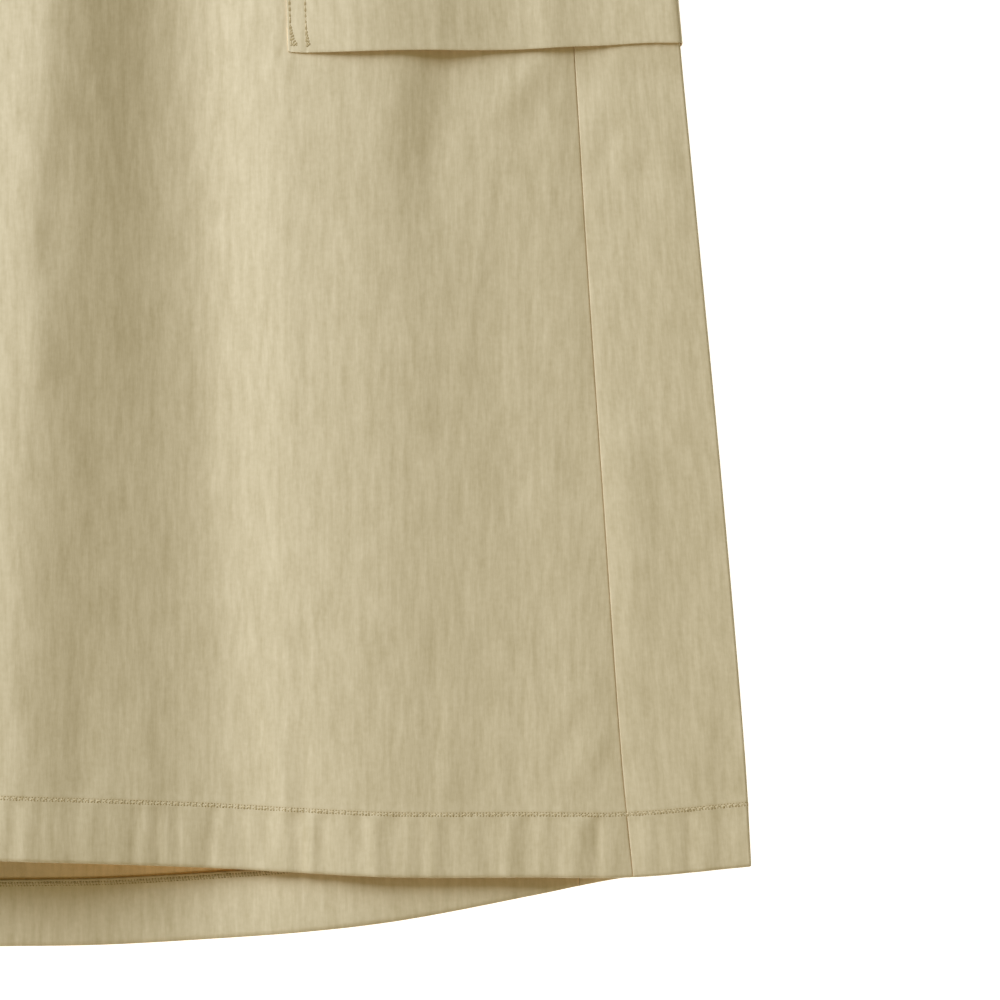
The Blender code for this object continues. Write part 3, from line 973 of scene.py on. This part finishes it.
stitching = bpy.data.node_groups.new("stitching", "GeometryNodeTree")
sockets = {}
for name, kind, way in (
    ("Geometry", "NodeSocketGeometry", "INPUT"),
    ("Pitch", "NodeSocketFloat", "INPUT"),
    ("Start", "NodeSocketFloat", "INPUT"),
    ("Size", "NodeSocketVector", "INPUT"),
    ("Unevenness", "NodeSocketFloat", "INPUT"),
    ("Seed", "NodeSocketInt", "INPUT"),
    ("Material", "NodeSocketMaterial", "INPUT"),
    ("Geometry", "NodeSocketGeometry", "OUTPUT"),
):
    socket = stitching.interface.new_socket(name, in_out=way, socket_type=kind)
    if way == "INPUT":
        sockets[name] = socket.identifier
given = add(stitching, "NodeGroupInput").outputs
lines_sewn = add(stitching, "GeometryNodeMeshToCurve", {"Mesh": given["Geometry"]}).outputs["Curve"]
kept = add(stitching, "GeometryNodeTrimCurve", {"Curve": lines_sewn}, mode="LENGTH")
past_any_row = 100.0
stitching.links.new(given["Start"], kept.inputs[4])
kept.inputs[5].default_value = past_any_row
a_stitch_apart = {"Curve": kept.outputs[0], "Length": given["Pitch"]}
steps = add(stitching, "GeometryNodeResampleCurve", a_stitch_apart, mode="LENGTH")
tangent = add(stitching, "GeometryNodeInputTangent").outputs[0]
way_out = add(stitching, "GeometryNodeInputNamedAttribute", {"Name": "outward"}, data_type="FLOAT_VECTOR").outputs[0]
turned = add(
    stitching,
    "FunctionNodeAxesToRotation",
    {"Primary Axis": way_out, "Secondary Axis": tangent},
    primary_axis="Z",
    secondary_axis="X",
)
least = add(stitching, "ShaderNodeMath", {0: 1.0, 1: given["Unevenness"]}, operation="SUBTRACT").outputs[0]
most = add(stitching, "ShaderNodeMath", {0: 1.0, 1: given["Unevenness"]}, operation="ADD").outputs[0]
uneven = add(stitching, "FunctionNodeRandomValue", {2: least, 3: most, "Seed": given["Seed"]}, data_type="FLOAT")
size = add(stitching, "ShaderNodeVectorMath", {0: given["Size"], "Scale": uneven.outputs[1]}, operation="SCALE")
bead = add(stitching, "GeometryNodeMeshUVSphere", {"Segments": 6, "Rings": 4, "Radius": 0.5})
on_points = {"Points": steps.outputs[0], "Instance": bead.outputs[0]}
on_points |= {"Rotation": turned.outputs[0], "Scale": size.outputs[0]}
placed = add(stitching, "GeometryNodeInstanceOnPoints", on_points)
whole = add(stitching, "GeometryNodeRealizeInstances", {"Geometry": placed.outputs[0]})
smooth = add(stitching, "GeometryNodeSetShadeSmooth", {"Geometry": whole.outputs[0]})
dressed = add(stitching, "GeometryNodeSetMaterial", {"Geometry": smooth.outputs[0], "Material": given["Material"]})
add(stitching, "NodeGroupOutput", {"Geometry": dressed.outputs[0]})


unevenness = 0.28


def stitches(name, rows, material, pitch, start, size, sink, seed, aside):
    """Noted rows set with one kind of bead, on the row or at a distance beside it, as one plain mesh."""
    places, ways, edges = [], [], []
    for points, outward in rows:
        sideways = np.cross(outward, np.gradient(points, axis=0))
        sideways /= np.linalg.norm(sideways, axis=-1, keepdims=True)
        first = len(places)
        places += list((points - outward * sink + sideways * aside) * mm)
        ways += list(outward)
        edges += [(k, k + 1) for k in range(first, len(places) - 1)]
    rows_mesh = bpy.data.meshes.new("sewn_rows")
    rows_mesh.from_pydata(places, edges, [])
    rows_mesh.attributes.new("outward", "FLOAT_VECTOR", "POINT").data.foreach_set("vector", np.ravel(ways))
    rows_object = bpy.data.objects.new("sewn_rows", rows_mesh)
    bpy.context.scene.collection.objects.link(rows_object)
    maker = rows_object.modifiers.new("stitching", "NODES")
    maker.node_group = stitching
    values = {"Pitch": pitch * mm, "Start": start * mm, "Unevenness": unevenness, "Seed": seed, "Material": material}
    for socket, value in values.items():
        maker[sockets[socket]] = value
    maker[sockets["Size"]] = [side * mm for side in size]
    bpy.context.view_layer.update()
    made = bpy.data.meshes.new_from_object(rows_object.evaluated_get(bpy.context.evaluated_depsgraph_get()))
    bpy.data.objects.remove(rows_object)
    made.name = name
    piece = bpy.data.objects.new(name, made)
    bpy.context.scene.collection.objects.link(piece)
    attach(piece, "root")


for kind_of_bead in (
    # name, rows, material, pitch, start, size along, across and out, how far it sinks in, seed, place beside the row
    ("hem_thread", sewn_rows, thread, 2.4, 0.0, (1.7, 0.5, 0.2), -0.05, 3, 0.0),
    # The dents, tucks and beds are dark beads of painted shade.
    ("hem_dent_shade_low", sewn_rows, tuck, 1.2, 0.2, (0.95, 0.74, 0.22), -0.02, 4, -0.62),
    ("hem_dent_shade_high", sewn_rows, tuck, 1.2, 0.8, (0.8, 0.5, 0.2), -0.02, 5, 0.6),
    ("hem_tuck_shade", sewn_rows, tuck, 2.4, 1.2, (0.4, 0.9, 0.18), -0.02, 6, 0.0),
    ("edge_thread", edge_rows, thread, 2.4, 0.0, (1.6, 0.5, 0.24), -0.05, 7, 0.0),
    ("edge_tuck_shade", edge_rows, tuck, 2.4, 1.2, (1.7, 1.0, 0.2), -0.01, 8, 0.0),
    ("backtack_thread", tacked_rows, thread, 1.1, 0.0, (0.7, 0.4, 0.24), -0.04, 5, 0.0),
    ("backtack_bed_shade", tacked_rows, tuck, 1.1, 0.5, (1.1, 1.0, 0.2), -0.01, 6, 0.0),
):
    stitches(*kind_of_bead)
